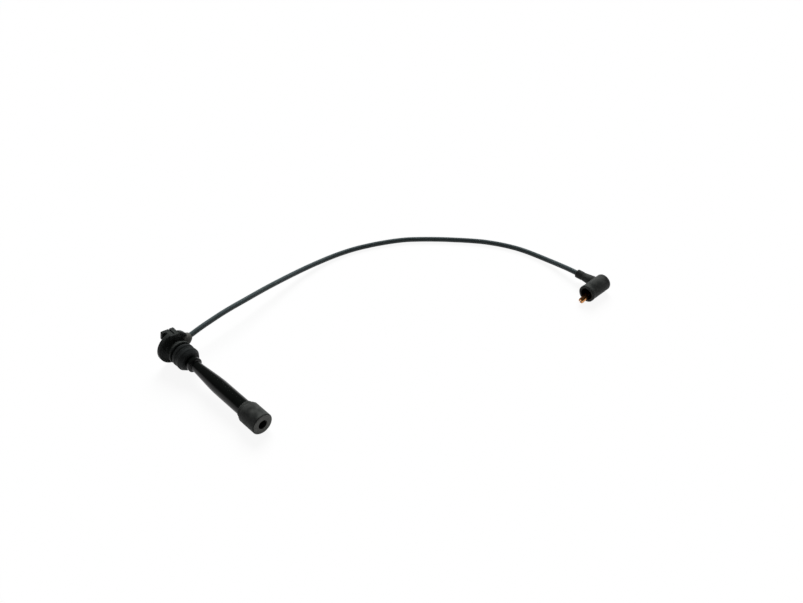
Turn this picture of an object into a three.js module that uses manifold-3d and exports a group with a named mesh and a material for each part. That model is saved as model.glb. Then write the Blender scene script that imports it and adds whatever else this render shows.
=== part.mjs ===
// A spark plug lead: a long plug connector with a well cap, a 7 mm ignition cable, and a right-angle
// coil boot with a split terminal. Millimetres, +Z up. The lead lies on the floor (z = 0) as it comes to
// rest. The plug connector points along +X and the coil boot opens towards -Y.
import * as THREE from 'three';
import { mergeVertices } from 'three/addons/utils/BufferGeometryUtils.js';
import Module from 'manifold-3d';

// Fits shared by several pieces
const SEAT_GAP = 0.3; // clearance between pieces that seat on each other
const CABLE_D = 7; // silicone ignition cable, over its jacket
const CRIMP_WALL = 0.5; // sheet brass of both crimped terminals
const TONGUE_W = 3; // strip that joins a crimp barrel to its contact
const ROUND = 40; // facets round a large turned piece
const ROUND_SMALL = 28; // facets round a small turned piece

// Where the two ends lie
const PLUG_END = { x: -145.65, y: -238.84 }; // middle of the well cap
const COIL_END = { x: 145.05, y: 250.56 }; // where the cable's line crosses the sleeve's
const SPOUT_ROLL = 6; // degrees that the cable outlet points up from level
const SPOUT_SPLAY = 5; // degrees that it turns from square, away from the plug boot
const PLUG_TURN = -0.8; // degrees that the plug end turns from +X, seen from above

// Well cap: disc, hub, flange, cable spout and finger grip, moulded in one
const CAP_R = 22;
const CAP_THICK = 6;
const CAP_EDGE = 1.2; // rounding of the disc's rim
const CAP_RIM_W = 3; // raised rim round the disc's dished underside
const CAP_DISH = 1.4; // depth of the dish
const HUB_R = 10.5; // hub under the disc, where it is narrowest
const HUB_SKIRT_R = 13.6; // hub where it meets the flange
const FLANGE_R = 15.6;
const FLANGE_THICK = 3;
const CAP_DEPTH = 15.8; // middle of the disc to the flange's seat on the seal
const SPOUT_OFFSET = 1.5; // spout's line from the middle of the disc
const SPOUT_R = 7.6;
const SPOUT_REACH = 12.6; // tube's axis to the end of the spout's thick part
const SPOUT_NOSE = 4; // length of the thinner nose that the collar slips over
const SPOUT_NOSE_WALL = 1.4;
const SPOUT_BACK = 8.5; // how far the spout's body runs past the tube's axis
const GRIP_W = 13.5; // finger grip across
const GRIP_TOP = 20.3; // tube's axis to the grip's flat top
const GRIP_THICK = 6;
const GRIP_BACK = 11.78; // reach behind the middle of the disc
const GRIP_FRONT = 4; // reach in front of it
const GRIP_SLOT_W = 1.8;
const GRIP_SLOT_STOP = 3; // solid length left in front of the slot
const GRIP_SLOT_DEPTH = 2.6;
const GRIP_ANGLE = 15; // degrees from square to the spout, towards the spout
const GRIP_ROUND = 0.9; // rounding of the grip's edges
const GRIP_BAR = 5; // length of the bar across the grip's back
const GRIP_BAR_REACH = 5; // bar's overhang past the pad on the side away from the spout
const GRIP_BAR_DEPTH = 10.8; // bar's height, down past the pad
const GRIP_STEP = 0.1; // the pad's top and side lie this far inside the bar's
const WEB_W = 6; // web that carries the back of the grip

// Exit collar: rubber sleeve over the spout's nose and the cable
const COLLAR_R = 8;
const COLLAR_TIP_R = 4.7;
const COLLAR_LENGTH = 12.4;
const COLLAR_BAND = 5.4; // straight band at its base

// Well seal: ribbed rubber sleeve between the cap's flange and the tube's shoulder
const SEAL_R = 15.5;
const SEAL_LENGTH = 21;
const SEAL_WAIST = 1.1; // depth of the waist between its two lips
const SEAL_ENTRY_R = 12.4; // its leading end
const SEAL_NECK = 3.8; // length of the groove under the flange
const SEAL_NECK_R = 13.2;

// Extension tube: glossy moulded insulator
const TUBE_R = 10; // its straight lower half
const TUBE_NECK_R = 6.8; // narrowest, below the ring
const TUBE_SPIGOT_R = 6.5; // top end, inside seal and cap
const TUBE_SHOULDER_R = 8.6;
const TUBE_SHOULDER = 4.6; // length of the shoulder behind the seal
const RING_R = 9.8;
const RING_W = 4.8;
const CONE_LENGTH = 51; // from the ring to the straight half
const STRAIGHT_LENGTH = 54.8;
const TUBE_BORE_R = 2.5;

// Contacts inside the tube
const ROD_R = 2.1;
const SPRING_WIRE_R = 0.35;
const SPRING_LENGTH = 19;
const SPRING_TURNS = 7;
const TERMINAL_R = 5.4; // socket that snaps on the plug
const TERMINAL_CUP_R = 3.5;
const TERMINAL_LENGTH = 17;
const TERMINAL_FLOOR = 3.4; // solid end that the rod stands on
const TERMINAL_PROUD = 1.2; // how far it stands out of the tube
const SNAP_GROOVE_FROM_END = 5;
const SNAP_WIRE_R = 0.35;
const SNAP_OPENING = 60; // degrees that the snap ring's gap takes

// Plug boot: rubber sleeve that grips the plug's insulator
const BOOT_R = 14;
const BOOT_CUFF_R = 11.3; // thin cuff round the tube
const BOOT_OVERLAP = 7.8; // length on the tube
const BOOT_GRIP = 26; // length past the tube
const BOOT_BORE_R = 5.75;
const BOOT_RIB = 0.3; // height of the sealing ribs in the bore
const BOOT_CHAMFER = 1.3;

// Coil boot: right-angle rubber boot
const SLEEVE_R = 11.6;
const SLEEVE_END_ROUND = 2.2; // rounding of its closed end
const SLEEVE_LENGTH = 39.6;
const SLEEVE_BORE_R = 8.4;
const SLEEVE_DEPTH = 22; // of the open bore
const SLEEVE_BEAD = 0.35; // rim band proud of the sleeve
const SLEEVE_BEAD_W = 4.2;
const NECK_FROM_BACK = 10.3; // neck's line from the sleeve's closed end
const NECK_REACH = 37; // sleeve's line to the cable entry
const NECK_R = 5.5;
const NECK_ROOT_R = 7.4;
const NECK_CUFF = 9; // length of the thicker cuff at the cable entry
const NECK_CUFF_STEP = 0.45;

// Coil terminal: split brass tube on a crimp barrel
const STUB_R = 3.8;
const STUB_WALL = 0.6;
const STUB_PROUD = 12.5; // past the sleeve's rim
const STUB_DROOP = 9.5; // degrees below the sleeve's line
const STUB_SLOT_W = 1.1;
const STUB_SLOT_LENGTH = 15;
const CRIMP_LENGTH = 9;
const CRIMP_SEAM = 1.6; // gap where the rolled barrel closes

// Cable: the free run between its two ends, lying as it fell. Places of its centre line on the lead.
const CABLE_SIDES = 10;
const CABLE_STEPS = 72;
const CABLE_RUN = [
  [-147.2, -197.5, 26.3],
  [-149.2, -177.0, 26.9],
  [-151.5, -156.1, 26.7],
  [-156.1, -114.0, 23.6],
  [-159.5, -91.6, 20.9],
  [-162.9, -68.7, 17.7],
  [-168.6, -21.9, 11.0],
  [-170.1, 0.9, 8.2],
  [-170.2, 22.9, 6.0],
  [-168.9, 44.4, 4.5],
  [-165.6, 64.3, 3.8],
  [-160.3, 83.2, 3.6],
  [-153.4, 100.2, 3.6],
  [-145.6, 116.8, 3.6],
  [-127.0, 147.7, 3.6],
  [-115.6, 161.2, 3.6],
  [-90.8, 186.0, 3.6],
  [-77.7, 197.6, 3.6],
  [-50.5, 219.7, 3.6],
  [-36.0, 229.5, 3.6],
  [-3.6, 245.0, 3.6],
  [14.6, 250.2, 3.7],
  [34.2, 253.1, 4.1],
  [54.8, 254.1, 5.4],
  [76.3, 253.2, 8.2],
  [91.0, 251.8, 10.5],
];

// Sizes that follow
const cableR = CABLE_D / 2;
const crimpInner = cableR + SEAT_GAP;
const crimpR = crimpInner + CRIMP_WALL;
const cavityR = Math.hypot(TONGUE_W / 2, crimpR) + SEAT_GAP;
const cableBoreR = cableR + SEAT_GAP;
const noseR = cavityR + SPOUT_NOSE_WALL;
const capFront = CAP_THICK / 2;
const hubFloor = SPOUT_OFFSET + cavityR - SEAT_GAP;
const tubeTop = hubFloor + SEAT_GAP;
const sealStart = CAP_DEPTH + SEAT_GAP;
const sealEnd = sealStart + SEAL_LENGTH;
const shoulderStart = sealEnd + SEAT_GAP;
const ringStart = shoulderStart + TUBE_SHOULDER;
const ringEnd = ringStart + RING_W;
const coneEnd = ringEnd + CONE_LENGTH;
const tubeEnd = coneEnd + STRAIGHT_LENGTH;
const terminalEnd = tubeEnd + TERMINAL_PROUD;
const terminalTop = terminalEnd - TERMINAL_LENGTH;
const bootStart = tubeEnd - BOOT_OVERLAP;
const bootEnd = tubeEnd + BOOT_GRIP;
const collarStart = SPOUT_REACH + SEAT_GAP;
const collarEnd = collarStart + COLLAR_LENGTH;
const crimpStart = crimpR + 2;
const cableStop = crimpStart + 1;
const springTop = SPOUT_OFFSET + crimpR + 2 * SEAT_GAP; // clear of the leaning tongue
const rodTop = springTop + SPRING_LENGTH + SEAT_GAP;
const sleeveMouth = NECK_FROM_BACK - SLEEVE_LENGTH;
const beadR = SLEEVE_R + SLEEVE_BEAD;

// The plug connector rests on the disc's rim and on the boot, so its axis dips towards the boot.
const restRun = bootEnd - BOOT_CHAMFER - (capFront - CAP_EDGE);
const restTilt = Math.atan2(CAP_R - BOOT_R, restRun);
const axisHeight = CAP_R * Math.cos(restTilt) + (capFront - CAP_EDGE) * Math.sin(restTilt);

// Joining and cutting
const wasm = await Module();
wasm.setup();

function bare(geometry) {
  const copy = geometry.clone();
  copy.deleteAttribute('normal');
  copy.deleteAttribute('uv');
  return mergeVertices(copy, 1e-4);
}

function toSolid(geometry) {
  const welded = bare(geometry);
  const index = welded.getIndex().array;
  const kept = [];
  for (let k = 0; k < index.length; k += 3) {
    const [a, b, c] = [index[k], index[k + 1], index[k + 2]];
    if (a !== b && b !== c && c !== a) {
      kept.push(a, b, c);
    }
  }
  const vertProperties = new Float32Array(welded.getAttribute('position').array);
  const mesh = new wasm.Mesh({ numProp: 3, vertProperties, triVerts: new Uint32Array(kept) });
  return new wasm.Manifold(mesh);
}

function toGeometry(solid) {
  const mesh = solid.getMesh();
  const geometry = new THREE.BufferGeometry();
  geometry.setAttribute('position', new THREE.BufferAttribute(mesh.vertProperties, 3));
  geometry.setIndex(new THREE.BufferAttribute(mesh.triVerts, 1));
  geometry.computeVertexNormals();
  return geometry;
}

function build(base, added, removed) {
  let solid = toSolid(base);
  for (const geometry of added) {
    solid = solid.add(toSolid(geometry));
  }
  for (const geometry of removed) {
    solid = solid.subtract(toSolid(geometry));
  }
  return toGeometry(solid);
}

// Shapes. A profile is a list of [place along the axis, radius], out along the outside and back inside.
function revolve(profile, facets = ROUND) {
  const points = profile.map(([along, radius]) => new THREE.Vector2(radius, along));
  if (profile[0][1] > 0) {
    points.push(points[0].clone());
  }
  return new THREE.LatheGeometry(points, facets).rotateZ(-Math.PI / 2);
}

function rod(from, to, radius, facets = ROUND_SMALL) {
  return revolve([[from, 0], [from, radius], [to, radius], [to, 0]], facets);
}

// An arc in a profile, its angles in degrees: 0 points along the axis and 90 away from it.
function arc(along, radius, size, from, to, steps = 4) {
  return Array.from({ length: steps + 1 }, (_, k) => {
    const angle = THREE.MathUtils.degToRad(from + ((to - from) * k) / steps);
    return [along + size * Math.cos(angle), radius + size * Math.sin(angle)];
  });
}

function ringPoints(radius, sides) {
  return Array.from({ length: sides }, (_, k) => {
    const angle = (2 * Math.PI * k) / sides;
    return new THREE.Vector2(radius * Math.cos(angle), radius * Math.sin(angle));
  });
}

function sweep(path, radius, sides, steps) {
  const section = new THREE.Shape(ringPoints(radius, sides));
  return new THREE.ExtrudeGeometry(section, { extrudePath: path, steps });
}

// A block between two corners, for cuts and plain webs
function block(low, high) {
  const size = high.map((value, k) => value - low[k]);
  const middle = high.map((value, k) => (value + low[k]) / 2);
  return new THREE.BoxGeometry(...size).translate(...middle);
}

const alongY = (geometry) => geometry.rotateZ(Math.PI / 2);
const alongMinusY = (geometry) => geometry.rotateZ(-Math.PI / 2);

// Puts a shape made along +X on the spout's line
function onSpout(geometry) {
  return alongY(geometry).rotateZ(THREE.MathUtils.degToRad(SPOUT_SPLAY)).translate(SPOUT_OFFSET, 0, 0);
}

// Well cap
function turnToGrip(geometry) {
  return geometry.rotateX(-THREE.MathUtils.degToRad(GRIP_ANGLE));
}

// A block with rounded edges between two corners
function roundedBlock(low, high) {
  const shape = new THREE.Shape();
  shape.moveTo(low[0], low[1]);
  shape.lineTo(high[0], low[1]);
  shape.lineTo(high[0], high[1]);
  shape.lineTo(low[0], high[1]);
  const solid = new THREE.ExtrudeGeometry(shape, {
    depth: high[2] - low[2] - 2 * GRIP_ROUND,
    bevelThickness: GRIP_ROUND,
    bevelSize: GRIP_ROUND,
    bevelOffset: -GRIP_ROUND,
    bevelSegments: 2,
  });
  return solid.translate(0, 0, low[2] + GRIP_ROUND);
}

function gripPad() {
  const half = GRIP_W / 2;
  const low = [GRIP_BAR / 2 - GRIP_BACK, -half, GRIP_TOP - GRIP_THICK];
  const high = [GRIP_FRONT, half - GRIP_STEP, GRIP_TOP - GRIP_STEP];
  return turnToGrip(roundedBlock(low, high));
}

function gripBar() {
  const half = GRIP_W / 2;
  const low = [-GRIP_BACK, -half - GRIP_BAR_REACH, GRIP_TOP - GRIP_BAR_DEPTH];
  const high = [GRIP_BAR - GRIP_BACK, half, GRIP_TOP];
  return turnToGrip(roundedBlock(low, high));
}

function gripSlot() {
  const low = [-GRIP_BACK - 1, -GRIP_SLOT_W / 2, GRIP_TOP - GRIP_SLOT_DEPTH];
  const high = [GRIP_FRONT - GRIP_SLOT_STOP, GRIP_SLOT_W / 2, GRIP_TOP + 1];
  return turnToGrip(block(low, high));
}

function gripWeb() {
  const shape = new THREE.Shape();
  const under = GRIP_TOP - GRIP_THICK + SEAT_GAP;
  shape.moveTo(0, SPOUT_R / 2);
  shape.lineTo(0, under);
  shape.lineTo(-GRIP_BACK + 2 * GRIP_ROUND, under);
  shape.lineTo(-CAP_THICK, SPOUT_R / 2);
  const web = new THREE.ExtrudeGeometry(shape, { depth: WEB_W, bevelEnabled: false });
  web.translate(0, 0, -WEB_W / 2).rotateX(Math.PI / 2);
  return turnToGrip(web);
}

function wellCap() {
  const rimInner = CAP_R - CAP_RIM_W;
  const dishFloor = capFront - CAP_DISH;
  const flangeBack = CAP_DEPTH - FLANGE_THICK;
  const edgeR = CAP_R - CAP_EDGE;
  const turned = revolve([
    [-capFront, 0],
    ...arc(-capFront + CAP_EDGE, edgeR, CAP_EDGE, 180, 90, 3),
    ...arc(capFront - CAP_EDGE, edgeR, CAP_EDGE, 90, 0, 3),
    [capFront, rimInner],
    [dishFloor, rimInner - CAP_DISH / 2],
    [dishFloor, HUB_R],
    [flangeBack, HUB_SKIRT_R],
    [flangeBack, FLANGE_R - 0.5],
    [flangeBack + 0.5, FLANGE_R],
    [CAP_DEPTH - 0.5, FLANGE_R],
    [CAP_DEPTH, FLANGE_R - 0.5],
    [CAP_DEPTH, 0],
  ]);
  const spout = onSpout(revolve([
    [-SPOUT_BACK, 0],
    ...arc(SPOUT_R / 2 - SPOUT_BACK, SPOUT_R / 2, SPOUT_R / 2, 180, 90, 4),
    [SPOUT_REACH - 0.4, SPOUT_R],
    [SPOUT_REACH, SPOUT_R - 0.4],
    [SPOUT_REACH, noseR],
    [SPOUT_REACH + SPOUT_NOSE, noseR],
    [SPOUT_REACH + SPOUT_NOSE, 0],
  ], ROUND_SMALL));
  const flat = turnToGrip(block([-CAP_THICK, -GRIP_W / 2, GRIP_TOP], [CAP_THICK, GRIP_W / 2, 2 * CAP_R]));
  const collarRoom = onSpout(rod(SPOUT_REACH, 2 * CAP_R, COLLAR_R + SEAT_GAP));
  const cableWay = onSpout(rod(-crimpR, 2 * CAP_R, cavityR));
  const tubeWay = rod(hubFloor, 2 * CAP_DEPTH, TUBE_SPIGOT_R + SEAT_GAP);
  const disc = build(turned, [], [flat, collarRoom]);
  return build(disc, [spout, gripBar(), gripPad(), gripWeb()], [gripSlot(), cableWay, tubeWay]);
}

// Exit collar, along the spout's line
function exitCollar() {
  const sleeveR = noseR + SEAT_GAP;
  const taper = COLLAR_LENGTH - COLLAR_BAND;
  const drop = COLLAR_R - COLLAR_TIP_R;
  const sleeve = revolve([
    [0, COLLAR_R - 0.5],
    [0.5, COLLAR_R],
    [COLLAR_BAND, COLLAR_R],
    [COLLAR_BAND + 0.3 * taper, COLLAR_TIP_R + 0.85 * drop],
    [COLLAR_BAND + 0.6 * taper, COLLAR_TIP_R + 0.55 * drop],
    [COLLAR_BAND + 0.85 * taper, COLLAR_TIP_R + 0.2 * drop],
    [COLLAR_LENGTH - 0.4, COLLAR_TIP_R],
    [COLLAR_LENGTH, COLLAR_TIP_R - 0.4],
    [COLLAR_LENGTH, cableBoreR],
    [SPOUT_NOSE, cableBoreR],
    [SPOUT_NOSE, sleeveR],
    [0, sleeveR],
  ], ROUND_SMALL);
  return onSpout(sleeve.translate(collarStart, 0, 0));
}

// A rolled crimp barrel with an open seam on the side away from its tongue, along +X
function crimpBarrel(from, to) {
  const barrel = revolve([[from, crimpR], [to, crimpR], [to, crimpInner], [from, crimpInner]], ROUND_SMALL);
  const seam = block([from - 1, -CRIMP_SEAM / 2, 0], [to + 1, CRIMP_SEAM / 2, 2 * crimpR]);
  return { barrel, seam };
}

// Head terminal: the barrel holds the cable, and its tongue crosses the tube's axis
function headTerminal() {
  const { barrel, seam } = crimpBarrel(crimpStart, crimpStart + CRIMP_LENGTH);
  const tongue = block([1 - crimpR, -TONGUE_W / 2, -crimpR], [crimpStart + 2, TONGUE_W / 2, -crimpInner]);
  // The seam's side turns to the cap's back, and the tongue's to the spring.
  const turned = build(barrel, [tongue], [seam]).rotateX(-Math.PI / 2);
  return onSpout(turned);
}

// Well seal
function wellSeal() {
  const lip = sealStart + SEAL_NECK;
  const mid = (lip + sealEnd) / 2;
  const bore = TUBE_SPIGOT_R + SEAT_GAP;
  return revolve([
    [sealStart, SEAL_NECK_R],
    [lip, SEAL_NECK_R],
    [lip, SEAL_R - 0.4],
    [lip + 0.4, SEAL_R],
    [lip + 3.2, SEAL_R],
    [lip + 4.4, SEAL_R - SEAL_WAIST],
    [mid - 1, SEAL_R - SEAL_WAIST],
    [mid + 0.4, SEAL_R],
    [mid + 3.4, SEAL_R],
    [mid + 4.4, SEAL_R - 0.8],
    [sealEnd - 2, SEAL_ENTRY_R + 1.2],
    [sealEnd, SEAL_ENTRY_R],
    [sealEnd, bore],
    [sealStart, bore],
  ]);
}

// Extension tube
function extensionTube() {
  const socketR = TERMINAL_R + SEAT_GAP;
  const socketTop = terminalTop - SEAT_GAP;
  const swell = TUBE_R - TUBE_NECK_R;
  return revolve([
    [tubeTop, TUBE_SPIGOT_R - 0.5],
    [tubeTop + 0.5, TUBE_SPIGOT_R],
    [shoulderStart, TUBE_SPIGOT_R],
    [shoulderStart, TUBE_SHOULDER_R],
    [ringStart, TUBE_SHOULDER_R],
    [ringStart, RING_R - 0.5],
    [ringStart + 0.5, RING_R],
    [ringEnd - 0.8, RING_R],
    [ringEnd, RING_R - 0.9],
    [ringEnd + 0.4, TUBE_NECK_R],
    [ringEnd + CONE_LENGTH * 0.08, TUBE_NECK_R + 0.02 * swell],
    [ringEnd + CONE_LENGTH * 0.8, TUBE_NECK_R + 0.86 * swell],
    [coneEnd, TUBE_R],
    [tubeEnd, TUBE_R],
    [tubeEnd, socketR],
    [socketTop, socketR],
    [socketTop, TUBE_BORE_R],
    [tubeTop, TUBE_BORE_R],
  ]);
}

// Contact spring
class Helix extends THREE.Curve {
  getPoint(share, target = new THREE.Vector3()) {
    const angle = 2 * Math.PI * SPRING_TURNS * share;
    const radius = TUBE_BORE_R - SEAT_GAP - SPRING_WIRE_R;
    const run = SPRING_LENGTH - 2 * SPRING_WIRE_R;
    const along = springTop + SPRING_WIRE_R + run * share;
    return target.set(along, radius * Math.cos(angle), radius * Math.sin(angle));
  }
}

function contactSpring() {
  return sweep(new Helix(), SPRING_WIRE_R, 6, 12 * SPRING_TURNS);
}

function contactRod() {
  return rod(rodTop, terminalTop - SEAT_GAP, ROD_R, 24);
}

// Plug terminal: a turned brass socket with a groove for its snap ring
function plugTerminal() {
  const groove = terminalEnd - SNAP_GROOVE_FROM_END;
  const grooveHalf = SNAP_WIRE_R + SEAT_GAP;
  const grooveR = TERMINAL_R - 2 * SNAP_WIRE_R - SEAT_GAP;
  return revolve([
    [terminalTop, 0],
    [terminalTop, TERMINAL_R - 0.6],
    [terminalTop + 0.6, TERMINAL_R],
    [groove - grooveHalf, TERMINAL_R],
    [groove - grooveHalf, grooveR],
    [groove + grooveHalf, grooveR],
    [groove + grooveHalf, TERMINAL_R],
    [terminalEnd - 0.5, TERMINAL_R],
    [terminalEnd, TERMINAL_R - 0.5],
    [terminalEnd, TERMINAL_CUP_R + 0.5],
    [terminalEnd - 0.8, TERMINAL_CUP_R],
    [terminalTop + TERMINAL_FLOOR, TERMINAL_CUP_R],
    [terminalTop + TERMINAL_FLOOR, 0],
  ], ROUND_SMALL);
}

class Bow extends THREE.Curve {
  getPoint(share, target = new THREE.Vector3()) {
    const angle = THREE.MathUtils.degToRad(SNAP_OPENING / 2 + (360 - SNAP_OPENING) * share);
    const radius = TERMINAL_R - SNAP_WIRE_R;
    const along = terminalEnd - SNAP_GROOVE_FROM_END;
    return target.set(along, radius * Math.sin(angle), radius * Math.cos(angle));
  }
}

function snapRing() {
  return sweep(new Bow(), SNAP_WIRE_R, 6, 28);
}

// Plug boot
function boreRib(along) {
  return [[along + 1.2, BOOT_BORE_R], [along + 0.5, BOOT_BORE_R - BOOT_RIB],
    [along - 0.5, BOOT_BORE_R - BOOT_RIB], [along - 1.2, BOOT_BORE_R]];
}

function plugBoot() {
  const cuffInner = TUBE_R + SEAT_GAP;
  const step = tubeEnd + SEAT_GAP;
  const swell = BOOT_R - BOOT_CUFF_R;
  return revolve([
    [bootStart, BOOT_CUFF_R - 0.4],
    [bootStart + 0.4, BOOT_CUFF_R],
    [bootStart + 2.2, BOOT_CUFF_R],
    [bootStart + 2.9, BOOT_CUFF_R - 0.3],
    [bootStart + 3.5, BOOT_CUFF_R],
    [bootStart + 5, BOOT_CUFF_R + 0.72 * swell],
    [bootStart + 5.8, BOOT_CUFF_R + 0.66 * swell],
    [bootStart + 7, BOOT_R],
    [bootEnd - BOOT_CHAMFER, BOOT_R],
    [bootEnd, BOOT_R - BOOT_CHAMFER],
    [bootEnd, BOOT_BORE_R + 0.5],
    [bootEnd - 0.5, BOOT_BORE_R],
    ...boreRib(bootEnd - 6),
    ...boreRib(bootEnd - 12),
    [step, BOOT_BORE_R],
    [step, cuffInner],
    [bootStart, cuffInner],
  ]);
}

// Coil boot, about the crossing of its two lines
function coilBoot() {
  const mouth = SLEEVE_LENGTH;
  const bead = mouth - SLEEVE_BEAD_W;
  const sleeve = alongMinusY(revolve([
    [0, 0],
    ...arc(SLEEVE_END_ROUND, SLEEVE_R - SLEEVE_END_ROUND, SLEEVE_END_ROUND, 180, 90, 5),
    [bead - 0.4, SLEEVE_R],
    [bead, beadR],
    [mouth - 0.6, beadR],
    [mouth, beadR - 0.6],
    [mouth, 0],
  ])).translate(0, NECK_FROM_BACK, 0);
  const cuffR = NECK_R + NECK_CUFF_STEP;
  const neck = revolve([
    [-NECK_REACH, 0],
    [-NECK_REACH, cuffR - 0.5],
    [0.5 - NECK_REACH, cuffR],
    [NECK_CUFF - NECK_REACH, cuffR],
    [NECK_CUFF + 0.5 - NECK_REACH, NECK_R],
    [-SLEEVE_R, NECK_ROOT_R],
    [0, NECK_ROOT_R],
    [0, 0],
  ], ROUND_SMALL);
  const floor = SLEEVE_LENGTH - SLEEVE_DEPTH;
  const bore = alongMinusY(revolve([
    [floor, 0],
    [floor, SLEEVE_BORE_R - 1.5],
    [floor + 1.5, SLEEVE_BORE_R],
    [mouth - 0.5, SLEEVE_BORE_R],
    [mouth + 0.5, SLEEVE_BORE_R + 1],
    [mouth + 0.5, 0],
  ])).translate(0, NECK_FROM_BACK, 0);
  const stemWay = alongMinusY(rod(0, SLEEVE_LENGTH / 2, cavityR));
  const crimpWay = rod(-crimpStart - CRIMP_LENGTH - SEAT_GAP, cavityR, cavityR);
  const cableWay = rod(-NECK_REACH - 1, 0, cableBoreR);
  return build(sleeve, [neck], [bore, stemWay, crimpWay, cableWay]);
}

// Coil terminal
function coilTerminal() {
  const root = sleeveMouth + SLEEVE_DEPTH - SEAT_GAP;
  const length = root - sleeveMouth + STUB_PROUD;
  const inner = STUB_R - STUB_WALL;
  const tube = alongMinusY(revolve([
    [0, STUB_R],
    [length - 1.2, STUB_R],
    [length, STUB_R - 0.9],
    [length, inner - 0.5],
    [length - 1, inner],
    [0, inner],
  ], ROUND_SMALL));
  const slots = [0, 90].map((turn) => {
    const low = [-STUB_SLOT_W / 2, -length - 1, -2 * STUB_R];
    const high = [STUB_SLOT_W / 2, STUB_SLOT_LENGTH - length, 2 * STUB_R];
    return block(low, high).rotateY(THREE.MathUtils.degToRad(turn + 45));
  });
  const stub = build(tube, [], slots);
  stub.rotateX(THREE.MathUtils.degToRad(STUB_DROOP)).translate(0, root, STUB_R - crimpR);
  const { barrel, seam } = crimpBarrel(-crimpStart - CRIMP_LENGTH, -crimpStart);
  const half = TONGUE_W / 2;
  const strip = new THREE.Shape();
  strip.moveTo(-crimpStart - 2, -half);
  strip.lineTo(-half, -half);
  strip.lineTo(-half, root - 2);
  strip.lineTo(half, root - 2);
  strip.lineTo(half, 0);
  strip.absarc(0, 0, half, 0, Math.PI / 2, false);
  strip.lineTo(-crimpStart - 2, half);
  const shape = { depth: CRIMP_WALL, bevelEnabled: false, curveSegments: 6 };
  const blank = new THREE.ExtrudeGeometry(strip, shape).translate(0, 0, -crimpR);
  return build(barrel, [blank, stub], [seam]);
}

// Finishes
function finish(colour, roughness, metalness = 0) {
  return new THREE.MeshStandardMaterial({ color: colour, roughness, metalness });
}

const finishes = {
  capPlastic: finish(0x1c1e1f, 0.45),
  rubber: finish(0x2b2d2d, 0.7),
  tubePlastic: finish(0x0e0f11, 0.18),
  jacket: finish(0x3c4141, 0.5),
  brass: finish(0xc8884f, 0.3, 1),
  steel: finish(0x9b9da0, 0.35, 1),
};

function piece(name, geometry, material) {
  const mesh = new THREE.Mesh(geometry, material);
  mesh.name = name;
  return mesh;
}

// Plug end: a group that dips to its rest, holding one that rolls the spout up
const plugRoll = new THREE.Group();
plugRoll.rotation.x = THREE.MathUtils.degToRad(SPOUT_ROLL);
plugRoll.add(
  piece('well_cap', wellCap(), finishes.capPlastic),
  piece('exit_collar', exitCollar(), finishes.rubber),
  piece('head_terminal', headTerminal(), finishes.brass),
  piece('well_seal', wellSeal(), finishes.rubber),
  piece('extension_tube', extensionTube(), finishes.tubePlastic),
  piece('contact_spring', contactSpring(), finishes.steel),
  piece('contact_rod', contactRod(), finishes.steel),
  piece('plug_terminal', plugTerminal(), finishes.brass),
  piece('terminal_snap_ring', snapRing(), finishes.steel),
  piece('plug_boot', plugBoot(), finishes.rubber),
);
const plugEnd = new THREE.Group();
plugEnd.rotation.set(0, restTilt, THREE.MathUtils.degToRad(PLUG_TURN), 'ZYX');
plugEnd.position.set(PLUG_END.x, PLUG_END.y, axisHeight);
plugEnd.add(plugRoll);

// Coil end: lies flat on the sleeve's rim band
const coilEnd = new THREE.Group();
coilEnd.position.set(COIL_END.x, COIL_END.y, beadR);
coilEnd.add(
  piece('coil_boot', coilBoot(), finishes.rubber),
  piece('coil_terminal', coilTerminal(), finishes.brass),
);

const lead = new THREE.Group();
lead.add(plugEnd, coilEnd);
lead.updateMatrixWorld(true);

// Cable, from crimp to crimp: straight inside both ends
function cableLine() {
  const splay = THREE.MathUtils.degToRad(SPOUT_SPLAY);
  const start = [cableStop, 13, 19, collarEnd, collarEnd + 4].map((u) => {
    const place = new THREE.Vector3(SPOUT_OFFSET - u * Math.sin(splay), u * Math.cos(splay), 0);
    return plugRoll.localToWorld(place);
  });
  const free = CABLE_RUN.map((place) => new THREE.Vector3(...place));
  const neckStations = [NECK_REACH + 4, NECK_REACH, 25, 16, cableStop];
  const end = neckStations.map((u) => coilEnd.localToWorld(new THREE.Vector3(-u, 0, 0)));
  return new THREE.CatmullRomCurve3([...start, ...free, ...end]);
}

lead.add(piece('cable', sweep(cableLine(), cableR, CABLE_SIDES, CABLE_STEPS), finishes.jacket));

export default lead;
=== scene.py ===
# %% [markdown]
# # A spark plug wire
# This lead carries the spark from an ignition coil to a plug that sits deep in its well. It has three parts
# that behave differently: a stiff plug connector, a bendy high-tension cable, and a right-angle coil boot.
# The CAD model gives every place and size. Here each piece gets its rounded edges and its finish.

# %% Load the frame
import math

import bmesh
import bpy
from mathutils import Euler, Matrix, Vector


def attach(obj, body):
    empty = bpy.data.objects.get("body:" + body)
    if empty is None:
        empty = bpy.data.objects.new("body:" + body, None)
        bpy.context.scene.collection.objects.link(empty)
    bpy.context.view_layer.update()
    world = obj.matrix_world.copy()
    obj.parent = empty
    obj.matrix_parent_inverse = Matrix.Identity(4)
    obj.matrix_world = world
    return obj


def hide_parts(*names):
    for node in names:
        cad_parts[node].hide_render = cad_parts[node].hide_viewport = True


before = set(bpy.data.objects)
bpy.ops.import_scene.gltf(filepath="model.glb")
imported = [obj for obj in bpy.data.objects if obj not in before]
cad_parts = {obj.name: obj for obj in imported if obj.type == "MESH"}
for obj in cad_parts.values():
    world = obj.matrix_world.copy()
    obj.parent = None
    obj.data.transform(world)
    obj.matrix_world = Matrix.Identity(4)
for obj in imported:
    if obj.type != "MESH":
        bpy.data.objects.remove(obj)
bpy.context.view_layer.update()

MM = 0.001  # metres in a millimetre

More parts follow.
